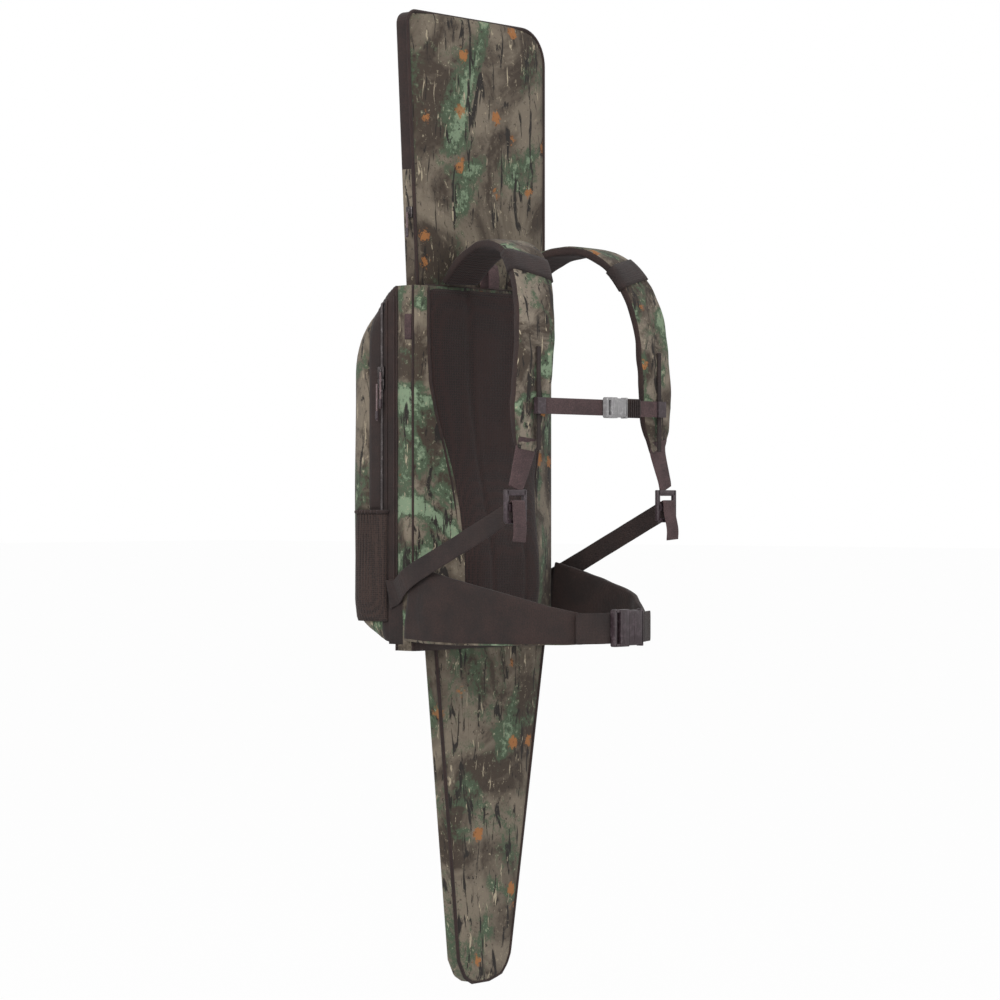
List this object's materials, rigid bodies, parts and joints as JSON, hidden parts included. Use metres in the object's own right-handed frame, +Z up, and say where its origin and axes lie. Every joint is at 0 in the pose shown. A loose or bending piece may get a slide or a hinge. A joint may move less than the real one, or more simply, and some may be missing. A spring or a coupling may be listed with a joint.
{
  "type": "hunting backpack",
  "caption": "Camouflage daypack with a padded harness and a full-length gun case held upright in a sleeve behind the back pad.",
  "frame": {"origin": "inside top of the hang loop", "axes": "+Z up along the gun case, harness towards -Y, bag towards +Y, +X to the right seen from the harness side"},
  "size_m": [0.342, 0.3598, 1.23],
  "materials": {
    "camo_cloth": "printed woven polyester",
    "brown_cloth": "woven polyester",
    "pad_mesh": "spacer mesh",
    "stiffener": "plain sheet",
    "webbing": "woven webbing",
    "strap_cloth": "printed woven polyester",
    "case_cloth": "printed woven polyester",
    "foam": "closed-cell foam",
    "zip_metal": "dark plated",
    "cord": "braided cord",
    "dark_plastic": "moulded",
    "grey_plastic": "moulded"
  },
  "bodies": {
    "pack": {"anchor_patch_left": "brown_cloth", "anchor_patch_right": "brown_cloth", "back_pad": "pad_mesh", "frame_sheet": "stiffener", "gusset_rear": "brown_cloth", "hang_loop": "webbing", "hip_buckle_female": "dark_plastic", "hip_webbing_left": "webbing", "hip_webbing_right": "webbing", "hip_wing_left": "brown_cloth", "hip_wing_right": "brown_cloth", "lower_tub": "camo_cloth", "lower_webbing_left": "webbing", "lower_webbing_right": "webbing", "main_back_wall": "camo_cloth", "mesh_pocket_left": "pad_mesh", "mesh_pocket_right": "pad_mesh", "shoulder_strap_left": "strap_cloth", "shoulder_strap_right": "strap_cloth", "side_tab_left": "brown_cloth", "side_tab_right": "brown_cloth", "sleeve_front_wall": "camo_cloth", "sleeve_gusset_left": "camo_cloth", "sleeve_gusset_right": "camo_cloth", "sternum_rail_left": "dark_plastic", "sternum_rail_right": "dark_plastic", "strap_band_left": "webbing", "strap_band_right": "webbing", "strap_tail_left": "webbing", "strap_tail_right": "webbing"},
    "door": {"gusset_front": "brown_cloth", "front_panel": "camo_cloth"},
    "zip_slider_upper": {"zip_slider_upper": "zip_metal"},
    "zip_slider_lower": {"zip_slider_lower": "zip_metal"},
    "zip_pull_upper": {"zip_pull_upper": "cord"},
    "zip_pull_lower": {"zip_pull_lower": "cord"},
    "gun_case": {"gun_case_shell": "case_cloth", "gun_case_front": "case_cloth", "gun_case_liner": "foam"},
    "gun_case_flap": {"gun_case_flap": "case_cloth"},
    "gun_case_slider": {"gun_case_slider": "zip_metal"},
    "gun_case_pull": {"gun_case_pull": "cord"},
    "ladder_lock_left": {"ladder_lock_left": "dark_plastic"},
    "ladder_lock_right": {"ladder_lock_right": "dark_plastic"},
    "sternum_left": {"sternum_slider_left": "dark_plastic", "sternum_webbing_left": "webbing"},
    "sternum_right": {"sternum_slider_right": "dark_plastic", "sternum_webbing_right": "webbing", "sternum_adjuster": "webbing", "sternum_buckle_female": "grey_plastic"},
    "sternum_male": {"sternum_buckle_male": "grey_plastic"},
    "sternum_prong_upper": {"sternum_buckle_prong_upper": "grey_plastic"},
    "sternum_prong_lower": {"sternum_buckle_prong_lower": "grey_plastic"},
    "hip_male": {"hip_buckle_male": "dark_plastic"},
    "hip_prong_upper": {"hip_buckle_prong_upper": "dark_plastic"},
    "hip_prong_lower": {"hip_buckle_prong_lower": "dark_plastic"}
  },
  "joints": [
    {"name": "door_open", "type": "hinge", "parent": "pack", "child": "door", "pos_m": [0, 0.133, -0.314], "axis": [-1, 0, 0], "range_deg": [0, 150]},
    {"name": "zip_upper_travel", "type": "slide", "parent": "pack", "child": "zip_slider_upper", "axis": [0, 0, 1], "range_m": [0, 0.045]},
    {"name": "zip_lower_travel", "type": "slide", "parent": "pack", "child": "zip_slider_lower", "axis": [0, 0, -1], "range_m": [0, 0.105]},
    {"name": "zip_pull_upper_swing", "type": "hinge", "parent": "zip_slider_upper", "child": "zip_pull_upper", "pos_m": [-0.142, 0.06, -0.138], "axis": [0, 1, 0], "range_deg": [0, 90]},
    {"name": "zip_pull_lower_swing", "type": "hinge", "parent": "zip_slider_lower", "child": "zip_pull_lower", "pos_m": [-0.142, 0.066, -0.153], "axis": [0, 1, 0], "range_deg": [0, 90]},
    {"name": "gun_case_lift", "type": "slide", "parent": "pack", "child": "gun_case", "axis": [0, 0, 1], "range_m": [0, 0.86]},
    {"name": "gun_case_flap_fold", "type": "hinge", "parent": "gun_case", "child": "gun_case_flap", "pos_m": [0, 0.0115, 0.03515], "axis": [1, 0, 0], "range_deg": [0, 85]},
    {"name": "gun_case_zip_travel", "type": "slide", "parent": "gun_case", "child": "gun_case_slider", "axis": [-0.058, 0, 0.9983], "range_m": [0, 0.2]},
    {"name": "gun_case_pull_swing", "type": "hinge", "parent": "gun_case_slider", "child": "gun_case_pull", "pos_m": [-0.13384, 0.0225, 0.062], "axis": [0, 1, 0], "range_deg": [0, 90]},
    {"name": "ladder_lock_left_tilt", "type": "hinge", "parent": "pack", "child": "ladder_lock_left", "pos_m": [-0.151, -0.168, -0.2888], "axis": [-1, 0, 0], "range_deg": [0, 35]},
    {"name": "ladder_lock_right_tilt", "type": "hinge", "parent": "pack", "child": "ladder_lock_right", "pos_m": [0.151, -0.168, -0.2888], "axis": [-1, 0, 0], "range_deg": [0, 35]},
    {"name": "sternum_height_right", "type": "slide", "parent": "pack", "child": "sternum_right", "axis": [0, 0, 1], "range_m": [-0.04, 0.04]},
    {"name": "sternum_height_left", "type": "slide", "parent": "pack", "child": "sternum_left", "axis": [0, 0, 1], "range_m": [-0.04, 0.04]},
    {"name": "sternum_unclip", "type": "slide", "parent": "sternum_left", "child": "sternum_male", "axis": [-1, 0, 0], "range_m": [0, 0.026]},
    {"name": "sternum_prong_upper_squeeze", "type": "hinge", "parent": "sternum_male", "child": "sternum_prong_upper", "pos_m": [0.023, -0.1884, -0.175], "axis": [0, 1, 0], "range_deg": [0, 6], "stiffness_Nm_per_rad": 0.02},
    {"name": "sternum_prong_lower_squeeze", "type": "hinge", "parent": "sternum_male", "child": "sternum_prong_lower", "pos_m": [0.023, -0.1884, -0.193], "axis": [0, 1, 0], "range_deg": [-6, 0], "stiffness_Nm_per_rad": 0.02},
    {"name": "hip_unclip", "type": "slide", "parent": "pack", "child": "hip_male", "axis": [-1, 0, 0], "range_m": [0, 0.034]},
    {"name": "hip_prong_upper_squeeze", "type": "hinge", "parent": "hip_male", "child": "hip_prong_upper", "pos_m": [0.003, -0.2223, -0.438], "axis": [0, 1, 0], "range_deg": [0, 6], "stiffness_Nm_per_rad": 0.02},
    {"name": "hip_prong_lower_squeeze", "type": "hinge", "parent": "hip_male", "child": "hip_prong_lower", "pos_m": [0.003, -0.2223, -0.476], "axis": [0, 1, 0], "range_deg": [-6, 0], "stiffness_Nm_per_rad": 0.02}
  ],
  "couplings": [
    {"joint": "sternum_height_left", "follows": "sternum_height_right", "ratio": 1},
    {"joint": "sternum_prong_lower_squeeze", "follows": "sternum_prong_upper_squeeze", "ratio": -1},
    {"joint": "hip_prong_lower_squeeze", "follows": "hip_prong_upper_squeeze", "ratio": -1}
  ]
}
